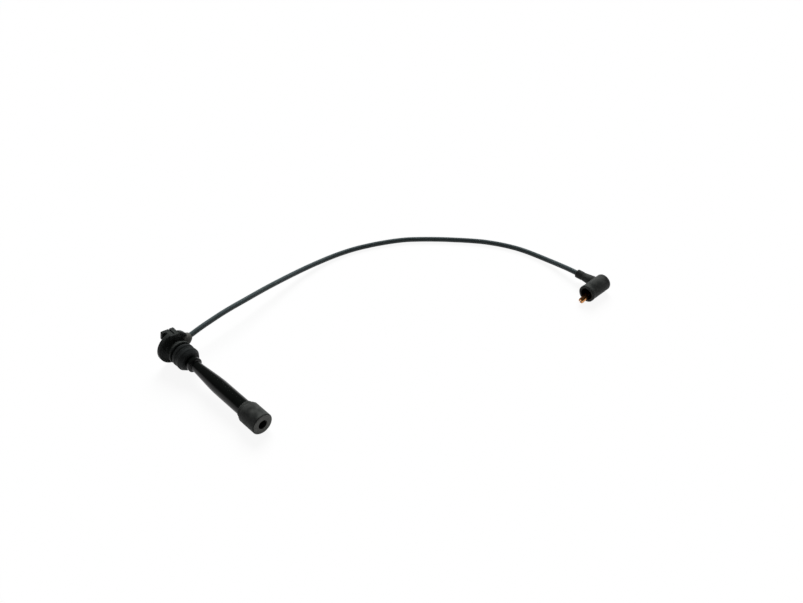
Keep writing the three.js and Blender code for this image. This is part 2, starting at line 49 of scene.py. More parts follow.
# %% [markdown]
# ## Camera
# The lead was photographed from 38 degrees above the table and 45 degrees round from its plug connector.
# The lens follows from the photograph's focal length in pixels: a longer lens would flatten the far end.

# %% Camera
PHOTO_WIDTH = 803  # pixels
FOCAL_LENGTH = 985  # pixels
CAMERA_DISTANCE = 1.3292  # metres
AIM = Vector((-29.65, 45.16, 0.0)) * MM  # the point on the floor in the middle of the picture
AZIMUTH = math.radians(45)
ELEVATION = math.radians(38)

camera_data = bpy.data.cameras.new("camera")
camera_data.lens = camera_data.sensor_width * FOCAL_LENGTH / PHOTO_WIDTH
camera = bpy.data.objects.new("camera", camera_data)
level = math.cos(ELEVATION)
to_camera = Vector((math.sin(AZIMUTH) * level, -math.cos(AZIMUTH) * level, math.sin(ELEVATION)))
camera.location = AIM + to_camera * CAMERA_DISTANCE
camera.rotation_euler = (-to_camera).to_track_quat("-Z", "Y").to_euler()
bpy.context.scene.collection.objects.link(camera)
bpy.context.scene.camera = camera
bpy.context.scene.view_settings.view_transform = "Standard"
print("lens, mm:", round(camera_data.lens, 1))

# %% [markdown]
# ## The cable's line
# A 7 mm silicone cable is springy. It leaves the plug connector level, sinks to the table in a long arc and
# climbs a little into the coil boot. A Bezier curve with automatic handles bends as evenly as the cable
# does, and a round bevel gives it its thickness. Both ends run straight inside their boots to the crimps.

# %% Cable
CABLE_DIAMETER = 7 * MM
CABLE_LINE = [  # millimetres, from the crimp in the well cap to the one in the coil boot
    (-144.65, -231.6, 22.8), (-145.05, -226.0, 23.4), (-145.45, -220.0, 24.05), (-145.9, -213.8, 24.7),
    (-146.15, -209.8, 25.15), (-147.2, -197.5, 26.3), (-149.2, -177.0, 26.9), (-151.5, -156.1, 26.7),
    (-156.1, -114.0, 23.6), (-159.5, -91.6, 20.9), (-162.9, -68.7, 17.7), (-168.6, -21.9, 11.0),
    (-170.1, 0.9, 8.2), (-170.2, 22.9, 6.0), (-168.9, 44.4, 4.5), (-165.6, 64.3, 3.8),
    (-160.3, 83.2, 3.6), (-153.4, 100.2, 3.6), (-145.6, 116.8, 3.6), (-127.0, 147.7, 3.6),
    (-115.6, 161.2, 3.6), (-90.8, 186.0, 3.6), (-77.7, 197.6, 3.6), (-50.5, 219.7, 3.6),
    (-36.0, 229.5, 3.6), (-3.6, 245.0, 3.6), (14.6, 250.2, 3.7), (34.2, 253.1, 4.1),
    (54.8, 254.1, 5.4), (76.3, 253.2, 8.2), (91.0, 251.8, 10.5), (104.0, 250.6, 11.95),
    (108.0, 250.6, 11.95), (120.0, 250.6, 11.95), (129.0, 250.6, 11.95), (137.8, 250.6, 11.95),
]

curve = bpy.data.curves.new("silicone_cable", "CURVE")
curve.dimensions = "3D"
curve.bevel_depth = 1  # metre, which each point's radius scales down to the cable's
curve.bevel_resolution = 8
curve.use_fill_caps = True
curve.resolution_u = 16
spline = curve.splines.new("BEZIER")
spline.bezier_points.add(len(CABLE_LINE) - 1)
for point, place in zip(spline.bezier_points, CABLE_LINE):
    point.co = Vector(place) * MM
    point.radius = CABLE_DIAMETER / 2
    point.handle_left_type = point.handle_right_type = "AUTO"
cable = bpy.data.objects.new("silicone_cable", curve)
bpy.context.scene.collection.objects.link(cable)
cable_length = spline.calc_length()
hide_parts("cable")
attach(cable, "root")
print("cable, crimp to crimp, mm:", round(cable_length / MM))

# %% [markdown]
# ## Studio
# The photograph has a white sweep under a wide soft lamp that hangs high behind the lead, so the sides that
# face the camera are dark. The ceiling is dark too: the glossy tube is black on top and pale along its lower
# edge, where it mirrors the sweep. The world gives matte surfaces an even fill. A reflection sees it white at
# the horizon and dark overhead, and the camera sees it plain white.

# %% One function adds a node
def add_node(tree, kind, inputs=None, **settings):
    """Adds a node. inputs maps a socket's name or number to a value, or to the socket that feeds it."""
    node = tree.nodes.new(kind)
    for name, value in settings.items():
        setattr(node, name, value)
    for key, value in (inputs or {}).items():
        if isinstance(value, bpy.types.NodeSocket):
            tree.links.new(value, node.inputs[key])
        else:
            node.inputs[key].default_value = value
    return node


def seen_rays(tree):
    """1 for rays from the camera, from gloss and through glass, and 0 for those that light a surface."""
    path = add_node(tree, "ShaderNodeLightPath")
    either = add_node(tree, "ShaderNodeMath", {
        0: path.outputs["Is Camera Ray"], 1: path.outputs["Is Glossy Ray"],
    }, operation="MAXIMUM")
    any_of_them = add_node(tree, "ShaderNodeMath", {
        0: either.outputs[0], 1: path.outputs["Is Transmission Ray"],
    }, operation="MAXIMUM")
    return any_of_them.outputs[0]


# %% World and lamp
FILL = 0.1  # brightness of a white matte surface in the fill alone
LAMP_SHARE = 1 - FILL
LAMP_DIRECTION = Vector((-0.48, 0.56, 0.68)).normalized()  # from the lead to the lamp
LAMP_WIDTH = math.radians(35)  # as the lead sees it
WALL_FOOT = 0.02  # height of a reflected ray where the white sweep ends
WALL_TOP = 0.3  # height where the dark ceiling begins
CEILING = 0.1
WHITE = (1, 1, 1, 1)

world = bpy.data.worlds.new("studio")
bpy.context.scene.world = world
world.use_nodes = True
tree = world.node_tree
tree.nodes.clear()
ray = add_node(tree, "ShaderNodeTexCoord")
height = add_node(tree, "ShaderNodeSeparateXYZ", {0: ray.outputs["Generated"]})
walls = add_node(tree, "ShaderNodeMapRange", {
    "Value": height.outputs["Z"], "From Min": WALL_FOOT, "From Max": WALL_TOP,
    "To Min": 1.0, "To Max": CEILING,
})
path = add_node(tree, "ShaderNodeLightPath")
backdrop = add_node(tree, "ShaderNodeMath", {
    0: walls.outputs[0], 1: path.outputs["Is Camera Ray"],
}, operation="MAXIMUM")
seen = add_node(tree, "ShaderNodeBackground", {"Color": backdrop.outputs[0], "Strength": 1})
fill = add_node(tree, "ShaderNodeBackground", {"Color": WHITE, "Strength": FILL})
both = add_node(tree, "ShaderNodeMixShader", {0: seen_rays(tree), 1: fill.outputs[0], 2: seen.outputs[0]})
add_node(tree, "ShaderNodeOutputWorld", {"Surface": both.outputs[0]})

lamp_data = bpy.data.lights.new("softbox", "SUN")
lamp_data.angle = LAMP_WIDTH
lamp_data.energy = math.pi * LAMP_SHARE / LAMP_DIRECTION.z
lamp = bpy.data.objects.new("softbox", lamp_data)
lamp.rotation_euler = LAMP_DIRECTION.to_track_quat("Z", "Y").to_euler()
lamp.visible_glossy = False  # reflections show the studio walls, not the lamp
bpy.context.scene.collection.objects.link(lamp)
print("lamp strength:", round(lamp_data.energy, 2))

# %% Floor
FLOOR_SIZE = 8.0  # metres
SHADOW_DEPTH = 0.08  # share of the floor's brightness that a shadow can take away
FLOOR_BOUNCE = (0.22, 0.22, 0.22, 1)  # what the floor sends up to the lead, as a grey table would

floor_mesh = bpy.data.meshes.new("floor")
half = FLOOR_SIZE / 2
floor_corners = [(-half, -half, 0), (half, -half, 0), (half, half, 0), (-half, half, 0)]
floor_mesh.from_pydata(floor_corners, [], [(0, 1, 2, 3)])
floor = bpy.data.objects.new("floor", floor_mesh)
bpy.context.scene.collection.objects.link(floor)
paper = bpy.data.materials.new("white_paper")
paper.use_nodes = True
tree = paper.node_tree
tree.nodes.clear()
matte = add_node(tree, "ShaderNodeBsdfDiffuse", {"Color": WHITE})
glow = add_node(tree, "ShaderNodeEmission", {"Color": WHITE, "Strength": 1})
shown = add_node(tree, "ShaderNodeMixShader", {0: SHADOW_DEPTH, 1: glow.outputs[0], 2: matte.outputs[0]})
bounce = add_node(tree, "ShaderNodeBsdfDiffuse", {"Color": FLOOR_BOUNCE})
both = add_node(tree, "ShaderNodeMixShader", {0: seen_rays(tree), 1: bounce.outputs[0], 2: shown.outputs[0]})
add_node(tree, "ShaderNodeOutputMaterial", {"Surface": both.outputs[0]})
floor_mesh.materials.append(paper)
print("floor, m:", FLOOR_SIZE)

# %% [markdown]
# ## Finishes
# Every finish starts from what the real surface is. Colours are written as on a screen and turned to linear
# light by one function. Patterns take their scale from a real size in millimetres.

# %% Colour and pattern scale
def linear(hex_colour):
    """A colour such as "#2a2c2c" as linear red, green, blue and alpha."""
    channels = [int(hex_colour[k:k + 2], 16) / 255 for k in (1, 3, 5)]
    return tuple(c / 12.92 if c <= 0.04045 else ((c + 0.055) / 1.055) ** 2.4 for c in channels) + (1,)


def per_metre(size_mm):
    """Scale of a noise whose grains are about this wide."""
    return 1 / (size_mm * MM)


def new_material(name):
    """An empty material, its node tree, and the place on the object as a socket."""
    print("finish:", name)
    material = bpy.data.materials.new(name)
    material.use_nodes = True
    material.node_tree.nodes.clear()
    place = add_node(material.node_tree, "ShaderNodeTexCoord").outputs["Object"]
    return material, material.node_tree, place


# %% [markdown]
# **Silicone cable jacket.** It is extruded, so it is smooth along its length, with a soft satin skin that
# picks up a little dust. Silicone has a low IOR, about 1.41, so its shine is weak.

# %% Silicone jacket
silicone, tree, place = new_material("extruded_silicone")
patches = add_node(tree, "ShaderNodeTexNoise", {"Vector": place, "Scale": per_metre(14), "Detail": 3})
colour = add_node(tree, "ShaderNodeMixRGB", {
    0: patches.outputs["Fac"], 1: linear("#434d4f"), 2: linear("#566162"),
})
gloss = add_node(tree, "ShaderNodeMapRange", {
    "Value": patches.outputs["Fac"], "From Min": 0.3, "From Max": 0.7, "To Min": 0.3, "To Max": 0.42,
})
grain = add_node(tree, "ShaderNodeTexNoise", {"Vector": place, "Scale": per_metre(0.6), "Detail": 2})
relief = add_node(tree, "ShaderNodeBump", {
    "Height": grain.outputs["Fac"], "Strength": 0.25, "Distance": 0.05 * MM,
})
shader = add_node(tree, "ShaderNodeBsdfPrincipled", {
    "Base Color": colour.outputs[0], "Roughness": gloss.outputs[0], "IOR": 1.41, "Specular IOR Level": 0.35,
    "Normal": relief.outputs[0],
})
add_node(tree, "ShaderNodeOutputMaterial", {"Surface": shader.outputs[0]})
curve.materials.append(silicone)

# %% [markdown]
# ** Moulded rubber.** One recipe gives all the compounds. Both boots are EPDM. The seal is drawn darker, as
# painted shade where the cap shades it, and the exit collar paler, as painted light where the lamp falls on
# it. The bores are drawn darker still, as painted shade in the recesses. The plug boot's flat end face is
# drawn pale, as painted light: the lamp behind the lead does not reach it. A spark-eroded mould gives rubber
# a fine matte grain, drawn here at about 0.6 mm because the real 0.1 mm would not show. Wax that rises to the
# surface leaves paler, duller patches.

# %% Moulded rubber
def moulded_rubber(name, dark, pale, grain_mm):
    """Matte grained rubber between two colours, duller where it is paler."""
    material, tree, place = new_material(name)
    bloom = add_node(tree, "ShaderNodeTexNoise", {"Vector": place, "Scale": per_metre(9), "Detail": 4})
    spread = add_node(tree, "ShaderNodeMapRange", {
        "Value": bloom.outputs["Fac"], "From Min": 0.32, "From Max": 0.68,
    })
    colour = add_node(tree, "ShaderNodeMixRGB", {0: spread.outputs[0], 1: linear(dark), 2: linear(pale)})
    gloss = add_node(tree, "ShaderNodeMapRange", {"Value": spread.outputs[0], "To Min": 0.5, "To Max": 0.68})
    grain = add_node(tree, "ShaderNodeTexNoise", {"Vector": place, "Scale": per_metre(grain_mm), "Detail": 3})
    relief = add_node(tree, "ShaderNodeBump", {
        "Height": grain.outputs["Fac"], "Strength": 0.4, "Distance": 0.08 * MM,
    })
    shader = add_node(tree, "ShaderNodeBsdfPrincipled", {
        "Base Color": colour.outputs[0], "Roughness": gloss.outputs[0], "IOR": 1.5, "Specular IOR Level": 0.2,
        "Normal": relief.outputs[0],
    })
    add_node(tree, "ShaderNodeOutputMaterial", {"Surface": shader.outputs[0]})
    return material


rubber = moulded_rubber("moulded_epdm", "#2c2e2d", "#4b4d4b", 0.7)  # boots: dark grey, with bloom
# painted shade: the seal is drawn darker than the boots, as the cap shades it
shaded_seal_rubber = moulded_rubber("painted_shade_seal_rubber", "#1a1c1c", "#2f3232", 0.6)  # nearly black
# painted light: the collar is drawn paler than the boots, where the lamp falls on it
lit_collar_rubber = moulded_rubber("painted_light_collar_rubber", "#4c4d4a", "#696864", 0.6)  # warm mid grey
# painted shade: a darker copy of the boot rubber for the bores
shaded_bore_rubber = moulded_rubber("painted_shade_bore_epdm", "#181919", "#262727", 0.6)  # bores: black, no bloom
# painted light: a pale copy of the boot rubber for the end face, which the lamp does not reach
painted_lit_end_rubber = moulded_rubber("painted_light_end_face_epdm", "#82837f", "#9b9c99", 0.5)  # end face: pale and dull

# %% [markdown]
# **Glossy tube.** The insulator is a hard thermoset such as phenolic, moulded in a polished tool. It is
# almost black, and what the eye sees is its reflection. Faint flow marks run along it.

# %% Glossy thermoset
thermoset, tree, place = new_material("moulded_phenolic")
drawn_out = add_node(tree, "ShaderNodeMapping", {"Vector": place, "Scale": (0.12, 1, 1)})
flow = add_node(tree, "ShaderNodeTexNoise", {
    "Vector": drawn_out.outputs[0], "Scale": per_metre(2.5), "Detail": 3,
})
gloss = add_node(tree, "ShaderNodeMapRange", {
    "Value": flow.outputs["Fac"], "From Min": 0.35, "From Max": 0.65, "To Min": 0.14, "To Max": 0.24,
})
colour = add_node(tree, "ShaderNodeMixRGB", {
    0: flow.outputs["Fac"], 1: linear("#060807"), 2: linear("#101311"),
})
relief = add_node(tree, "ShaderNodeBump", {
    "Height": flow.outputs["Fac"], "Strength": 0.15, "Distance": 0.05 * MM,
})
shader = add_node(tree, "ShaderNodeBsdfPrincipled", {
    "Base Color": colour.outputs[0], "Roughness": gloss.outputs[0], "IOR": 1.58, "Specular IOR Level": 0.18,
    "Normal": relief.outputs[0],
})
add_node(tree, "ShaderNodeOutputMaterial", {"Surface": shader.outputs[0]})

# %% [markdown]
# **Cap plastic.** The well cap is glass-filled PBT: stiff, dark and satin, with a faint mottle where the
# fibres come near the surface.

# %% Cap plastic
pbt, tree, place = new_material("moulded_pbt")
mottle = add_node(tree, "ShaderNodeTexNoise", {"Vector": place, "Scale": per_metre(5), "Detail": 5})
colour = add_node(tree, "ShaderNodeMixRGB", {
    0: mottle.outputs["Fac"], 1: linear("#292b2a"), 2: linear("#424543"),
})
gloss = add_node(tree, "ShaderNodeMapRange", {
    "Value": mottle.outputs["Fac"], "From Min": 0.3, "From Max": 0.7, "To Min": 0.36, "To Max": 0.5,
})
grain = add_node(tree, "ShaderNodeTexNoise", {"Vector": place, "Scale": per_metre(0.5), "Detail": 2})
relief = add_node(tree, "ShaderNodeBump", {
    "Height": grain.outputs["Fac"], "Strength": 0.3, "Distance": 0.05 * MM,
})
shader = add_node(tree, "ShaderNodeBsdfPrincipled", {
    "Base Color": colour.outputs[0], "Roughness": gloss.outputs[0], "IOR": 1.57, "Specular IOR Level": 0.06,
    "Normal": relief.outputs[0],
})
add_node(tree, "ShaderNodeOutputMaterial", {"Surface": shader.outputs[0]})

# %% [markdown]
# **Terminal metal.** The terminals are stamped from copper-rich brass strip. Bright where the tool slid over
# it, it goes brown in patches as it is stored and handled.

# %% Copper-rich brass
brass, tree, place = new_material("stamped_brass")
tarnish = add_node(tree, "ShaderNodeTexNoise", {"Vector": place, "Scale": per_metre(4), "Detail": 4})
spread = add_node(tree, "ShaderNodeMapRange", {
    "Value": tarnish.outputs["Fac"], "From Min": 0.4, "From Max": 0.72,
})
colour = add_node(tree, "ShaderNodeMixRGB", {
    0: spread.outputs[0], 1: linear("#dd9c60"), 2: linear("#7c451c"),
})
gloss = add_node(tree, "ShaderNodeMapRange", {"Value": spread.outputs[0], "To Min": 0.22, "To Max": 0.4})
shader = add_node(tree, "ShaderNodeBsdfPrincipled", {
    "Base Color": colour.outputs[0], "Roughness": gloss.outputs[0], "Metallic": 1.0,
})
add_node(tree, "ShaderNodeOutputMaterial", {"Surface": shader.outputs[0]})

# %% [markdown]
# **Spring steel.** The spring, the rod and the snap ring are drawn wire: pale grey, with fine lines that
# follow the drawing.

# %% Drawn steel
steel, tree, place = new_material("drawn_steel")
drawn_out = add_node(tree, "ShaderNodeMapping", {"Vector": place, "Scale": (0.05, 1, 1)})
lines = add_node(tree, "ShaderNodeTexNoise", {
    "Vector": drawn_out.outputs[0], "Scale": per_metre(0.4), "Detail": 2,
})
colour = add_node(tree, "ShaderNodeMixRGB", {
    0: lines.outputs["Fac"], 1: linear("#97999b"), 2: linear("#bcbebf"),
})
gloss = add_node(tree, "ShaderNodeMapRange", {
    "Value": lines.outputs["Fac"], "From Min": 0.3, "From Max": 0.7, "To Min": 0.24, "To Max": 0.4,
})
shader = add_node(tree, "ShaderNodeBsdfPrincipled", {
    "Base Color": colour.outputs[0], "Roughness": gloss.outputs[0], "Metallic": 1.0,
})
add_node(tree, "ShaderNodeOutputMaterial", {"Surface": shader.outputs[0]})

# %% [markdown]
# ## Contacts inside
# These are hidden, or deep in a bore. Their CAD solids have the right shape already, so they only get their
# metal.

# %% Metal for the inner contacts
INNER_METALS = {
    "head_terminal": brass,
    "plug_terminal": brass,
    "contact_spring": steel,
    "contact_rod": steel,
    "terminal_snap_ring": steel,
}
for name, metal in INNER_METALS.items():
    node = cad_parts[name]
    node.data.materials.clear()
    node.data.materials.append(metal)
    print(name, "is", metal.name)

# %% [markdown]
# ## Turned shapes
# Seal, tube, boot and collar are round about one line. Each is a list of places along that line with a
# radius, out along the outside and back along the bore. Real mouldings have no knife edges, so every
# corner of the list is rounded before it is turned.

# %% Round a profile's corners
NEARLY_STRAIGHT = math.radians(8)  # a corner that turns less stays as it is
SHARE_OF_SIDE = 0.45  # of a side's length, the most that the rounding at one end takes


def softened(profile, radius, steps=4, closed=True):
    """The profile with its corners rounded to this radius, or to a corner's own third number."""
    rounded = []
    count = len(profile)
    for k, (along, out, *own) in enumerate(profile):
        corner = Vector((along, out))
        before = Vector(profile[k - 1][:2]) - corner
        after = Vector(profile[(k + 1) % count][:2]) - corner
        turn = math.pi - before.angle(after)
        open_end = not closed and k in (0, count - 1)
        if open_end or turn < NEARLY_STRAIGHT:
            rounded.append((along, out))
            continue
        size = own[0] if own else radius
        reach = min(size * math.tan(turn / 2), SHARE_OF_SIDE * before.length, SHARE_OF_SIDE * after.length)
        first = corner + before.normalized() * reach
        last = corner + after.normalized() * reach
        for step in range(steps + 1):
            t = step / steps
            rounded.append(tuple(first * (1 - t) ** 2 + corner * 2 * t * (1 - t) + last * t ** 2))
    return rounded


# %% Turn a profile about its line
AROUND = 112  # faces round a large piece
AROUND_SMALL = 80
AROUND_BORE = 72
SHARP = math.radians(38)  # an edge that turns more shows as an edge
ON_AXIS = 1e-6  # a smaller radius is a point on the line


def show(name, mesh, place):
    """Puts a mesh in the scene, its place written into its points, smooth but for its sharp edges."""
    mesh.transform(place)
    mesh.shade_smooth()
    mesh.set_sharp_from_angle(angle=SHARP)
    piece = bpy.data.objects.new(name, mesh)
    bpy.context.scene.collection.objects.link(piece)
    return piece


def turned(name, profile, place, around=AROUND, closed=True):
    """A solid turned about X. An open profile starts and ends on the axis."""
    shape = bmesh.new()
    rings = []
    for along, radius in profile:
        if radius < ON_AXIS:
            rings.append([shape.verts.new((along * MM, 0, 0))] * around)
            continue
        angles = [2 * math.pi * k / around for k in range(around)]
        rings.append([
            shape.verts.new((along * MM, radius * math.cos(a) * MM, radius * math.sin(a) * MM))
            for a in angles
        ])
    pairs = list(zip(rings, rings[1:]))
    if closed:
        pairs.append((rings[-1], rings[0]))
    for low, high in pairs:
        for k in range(around):
            corners = [low[k], low[k - 1], high[k - 1], high[k]]
            shape.faces.new(list(dict.fromkeys(corners)))
    bmesh.ops.recalc_face_normals(shape, faces=shape.faces)
    mesh = bpy.data.meshes.new(name)
    shape.to_mesh(mesh)
    shape.free()
    return show(name, mesh, place)


def dress(piece, material, node):
    """Gives a piece its finish and lets it stand for its CAD node."""
    piece.data.materials.clear()
    piece.data.materials.append(material)
    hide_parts(node)
    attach(piece, "root")
    print(piece.name, "faces:", len(piece.data.polygons))


# %% [markdown]
# ## Plug connector
# It lies on the rim of its cap and on its boot, so its line dips by a few degrees. All of its pieces are
# made on that line, with the middle of the cap's disc at zero, and one matrix puts them in place.

# %% The plug connector's place
CAP_R = 22
BOOT_R = 14
RIM_TO_BOOT = 175.5  # millimetres along the line, between the two places that touch the floor
PLUG_END = Vector((-145.65, -238.84, 22.059)) * MM  # the middle of the cap's disc
PLUG_ROLL = math.radians(6)  # turns the cable spout up
PLUG_DIP = math.atan2(CAP_R - BOOT_R, RIM_TO_BOOT)
PLUG_TURN = math.radians(-0.8)
plug_place = Matrix.Translation(PLUG_END) @ Euler((PLUG_ROLL, PLUG_DIP, PLUG_TURN)).to_matrix().to_4x4()
print("plug connector dips, degrees:", round(math.degrees(PLUG_DIP), 1))

# %% Stations along the plug connector, in millimetres
SEAT_GAP = 0.3
SEAL_LENGTH = 21
SHOULDER_LENGTH = 4.6
RING_WIDTH = 4.8
CONE_LENGTH = 51
STRAIGHT_LENGTH = 54.8
BOOT_OVERLAP = 7.8  # of the boot on the tube
BOOT_REACH = 26  # of the boot past the tube

CAP_END = 15.8
TUBE_TOP = 6.354  # inside the cap
SEAL_START = CAP_END + SEAT_GAP
SEAL_END = SEAL_START + SEAL_LENGTH
SHOULDER_START = SEAL_END + SEAT_GAP
RING_START = SHOULDER_START + SHOULDER_LENGTH
RING_END = RING_START + RING_WIDTH
CONE_END = RING_END + CONE_LENGTH
TUBE_END = CONE_END + STRAIGHT_LENGTH
BOOT_START = TUBE_END - BOOT_OVERLAP
BOOT_END = TUBE_END + BOOT_REACH
print("plug connector's reach from the disc, mm:", round(BOOT_END, 1))

# %% [markdown]
# **Well seal.** Two thick lips press on the well's wall. Between them the rubber is thinner, and a fine rib
# catches the light. The leading end is tapered so that it enters the well.

# %% Well seal
SPIGOT_R = 6.5  # the tube's thin top, inside seal and cap
SEAL_R = 15.5
SEAL_GROOVE = 3.8  # length of the groove under the cap's flange
SEAL_GROOVE_R = 13.2
SEAL_WAIST_R = SEAL_R - 1.1  # between the two lips
SEAL_RIB_R = SEAL_R - 0.8
SEAL_ENTRY_R = 12.4
lip = SEAL_START + SEAL_GROOVE
seal_bore_r = SPIGOT_R + SEAT_GAP
seal_profile = [
    (SEAL_START, SEAL_GROOVE_R), (lip, SEAL_GROOVE_R),
    (lip, SEAL_R - 0.2), (lip + 0.4, SEAL_R), (lip + 3.2, SEAL_R), (lip + 4.3, SEAL_WAIST_R),
    (lip + 5.4, SEAL_WAIST_R), (lip + 5.9, SEAL_RIB_R), (lip + 6.5, SEAL_RIB_R), (lip + 7.0, SEAL_WAIST_R),
    (lip + 7.8, SEAL_WAIST_R), (lip + 9.0, SEAL_R), (lip + 12.0, SEAL_R), (lip + 13.0, SEAL_R - 0.8),
    (SEAL_END - 2, 13.6), (SEAL_END, SEAL_ENTRY_R), (SEAL_END, seal_bore_r), (SEAL_START, seal_bore_r),
]
seal = turned("well_seal_rubber", softened(seal_profile, 0.7), plug_place)
# painted shade: the seal gets the darker rubber
dress(seal, shaded_seal_rubber, "well_seal")

# %% [markdown]
# **Extension tube.** It is narrowest just below its ring and swells in one long curve to the straight half
# that the boot grips.

# %% Extension tube
TUBE_R = 10
SHOULDER_R = 8.6
RING_R = 9.8
NECK_R = 6.8
SOCKET_R = 5.7
SOCKET_START = 136.5
TUBE_BORE_R = 2.5
SWELL = [  # share of the cone's length, and of the way from the neck's radius to the tube's
    (0.08, 0.02), (0.25, 0.2), (0.45, 0.46), (0.65, 0.71), (0.8, 0.87), (0.92, 0.965), (1, 1),
]
tube_profile = [
    (TUBE_TOP, SPIGOT_R - 0.4), (TUBE_TOP + 0.5, SPIGOT_R), (SHOULDER_START, SPIGOT_R),
    (SHOULDER_START, SHOULDER_R), (RING_START, SHOULDER_R), (RING_START, RING_R - 0.3),
    (RING_START + 0.5, RING_R), (RING_END - 0.8, RING_R), (RING_END, RING_R - 0.8), (RING_END + 0.4, NECK_R),
]
for along, rise in SWELL:
    tube_profile.append((RING_END + CONE_LENGTH * along, NECK_R + (TUBE_R - NECK_R) * rise))
tube_profile += [
    (TUBE_END, TUBE_R), (TUBE_END, SOCKET_R), (SOCKET_START, SOCKET_R),
    (SOCKET_START, TUBE_BORE_R), (TUBE_TOP, TUBE_BORE_R),
]
tube = turned("extension_tube_moulding", softened(tube_profile, 0.5), plug_place)
dress(tube, thermoset, "extension_tube")

# %% [markdown]
# ** Plug boot.** A thick rubber sleeve with a thin cuff that hugs the tube. Its bore has two sealing ribs for
# the plug's insulator. The end face gets a pale finish as painted light, and the bore a dark one as painted
# shade.

# %% Plug boot
CUFF_R = 11.3
CREASE_R = 12.7  # in front of the boot's thick part
CHAMFER = 1.3
BORE_R = 5.75
RIB = 0.3  # height of a sealing rib
RIB_HALF = 1.2
boot_profile = [
    (BOOT_START, CUFF_R), (BOOT_START + 2.2, CUFF_R), (BOOT_START + 2.9, CUFF_R - 0.3),
    (BOOT_START + 3.5, CUFF_R), (BOOT_START + 5, 13.3), (BOOT_START + 5.8, CREASE_R),
    (BOOT_START + 7, BOOT_R),
    (BOOT_END - CHAMFER, BOOT_R), (BOOT_END, BOOT_R - CHAMFER),
    (BOOT_END, BORE_R + 0.5), (BOOT_END - 0.5, BORE_R),
]
for rib in (BOOT_END - 6, BOOT_END - 12):
    boot_profile += [(rib + RIB_HALF, BORE_R), (rib, BORE_R - RIB), (rib - RIB_HALF, BORE_R)]
boot_profile += [
    (TUBE_END + SEAT_GAP, BORE_R), (TUBE_END + SEAT_GAP, TUBE_R + SEAT_GAP), (BOOT_START, TUBE_R + SEAT_GAP),
]
boot = turned("plug_boot_rubber", softened(boot_profile, 0.9), plug_place)
dress(boot, rubber, "plug_boot")

# %% Painted light on the end face, painted shade in the bore
SKIN = 0.3  # a face within this of the bore or of the end belongs to it


def finish_bore(piece, place, radius, start, material):
    """Gives the faces of a bore, from this place along its line on, a material of their own."""
    piece.data.materials.append(material)
    to_line = place.inverted()
    for face in piece.data.polygons:
        along, *across = to_line @ face.center
        if math.hypot(*across) < (radius + SKIN) * MM and along > start * MM:
            face.material_index = len(piece.data.materials) - 1


# painted light: the faces at the boot's end get the pale rubber
boot.data.materials.append(painted_lit_end_rubber)
to_plug_line = plug_place.inverted()
for face in boot.data.polygons:
    if (to_plug_line @ face.center).x > (BOOT_END - SKIN) * MM:
        face.material_index = 1
# painted shade: the plug boot's bore gets the darker rubber
finish_bore(boot, plug_place, BORE_R, BOOT_START, shaded_bore_rubber)

# %% [markdown]
# **Exit collar.** A short rubber sleeve slips over the spout's nose and tapers down to the cable, so that the
# cable never bends over a hard edge.

# %% Exit collar
SPOUT_LINE = 1.5  # spout's line from the middle of the disc
SPOUT_SPLAY = math.radians(5)  # how far it turns from square, away from the boot
SPOUT_END = 12.6  # where its thick part ends and its nose begins
SPOUT_NOSE = 4
NOSE_R = 6.254
CABLE_BORE_R = 3.8
COLLAR_R = 8
COLLAR_TIP_R = 4.7
COLLAR_LENGTH = 12.4
COLLAR_BAND = 5.4  # its straight part
taper = COLLAR_LENGTH - COLLAR_BAND
drop = COLLAR_R - COLLAR_TIP_R
spout_turn = Matrix.Rotation(math.pi / 2 + SPOUT_SPLAY, 4, "Z")
spout_place = plug_place @ Matrix.Translation((SPOUT_LINE * MM, 0, 0)) @ spout_turn
collar_place = spout_place @ Matrix.Translation(((SPOUT_END + SEAT_GAP) * MM, 0, 0))
collar_profile = [(0, COLLAR_R), (COLLAR_BAND, COLLAR_R)]
for along, rise in [(0.3, 0.85), (0.6, 0.55), (0.85, 0.2), (1, 0)]:  # shares of the taper and of its drop
    collar_profile.append((COLLAR_BAND + along * taper, COLLAR_TIP_R + rise * drop))
collar_profile += [
    (COLLAR_LENGTH, CABLE_BORE_R), (SPOUT_NOSE, CABLE_BORE_R),
    (SPOUT_NOSE, NOSE_R + SEAT_GAP), (0, NOSE_R + SEAT_GAP),
]
collar = turned("exit_collar_rubber", softened(collar_profile, 0.5), collar_place, around=AROUND_BORE)
# painted light: the collar gets the paler rubber
dress(collar, lit_collar_rubber, "exit_collar")

# %% [markdown]
# ## Well cap
# One moulding: a dished disc that covers the well, a hub and flange below it, the cable spout, and a grip to
# pull the lead out by. Boolean modifiers join its shapes and cut its passages, as the halves of a mould do.

# %% Helpers for joined shapes
def box_outline(left, bottom, right, top):
    """The four corners of a rectangle."""
    return [(left, bottom), (right, bottom), (right, top), (left, top)]


def prism(name, outline, low, high, rounding, place):
    """An outline in the XY plane, raised from low to high and rounded along its edges."""
    shape = bmesh.new()
    base = shape.faces.new([shape.verts.new((x * MM, y * MM, low * MM)) for x, y in outline])
    raised = bmesh.ops.extrude_face_region(shape, geom=[base])
    tops = [item for item in raised["geom"] if isinstance(item, bmesh.types.BMVert)]
    bmesh.ops.translate(shape, verts=tops, vec=(0, 0, (high - low) * MM))
    if rounding:
        bmesh.ops.bevel(
            shape, geom=shape.edges[:], offset=rounding * MM, segments=3, profile=0.5, affect="EDGES",
        )
    bmesh.ops.recalc_face_normals(shape, faces=shape.faces)
    mesh = bpy.data.meshes.new(name)
    shape.to_mesh(mesh)
    shape.free()
    return show(name, mesh, place)


def rod(from_mm, to_mm, radius, place):
    """A round bar on the X line, mostly to cut a passage with."""
    ends = [(from_mm, 0), (from_mm, radius), (to_mm, radius), (to_mm, 0)]
    return turned("rod", ends, place, around=AROUND_BORE, closed=False)


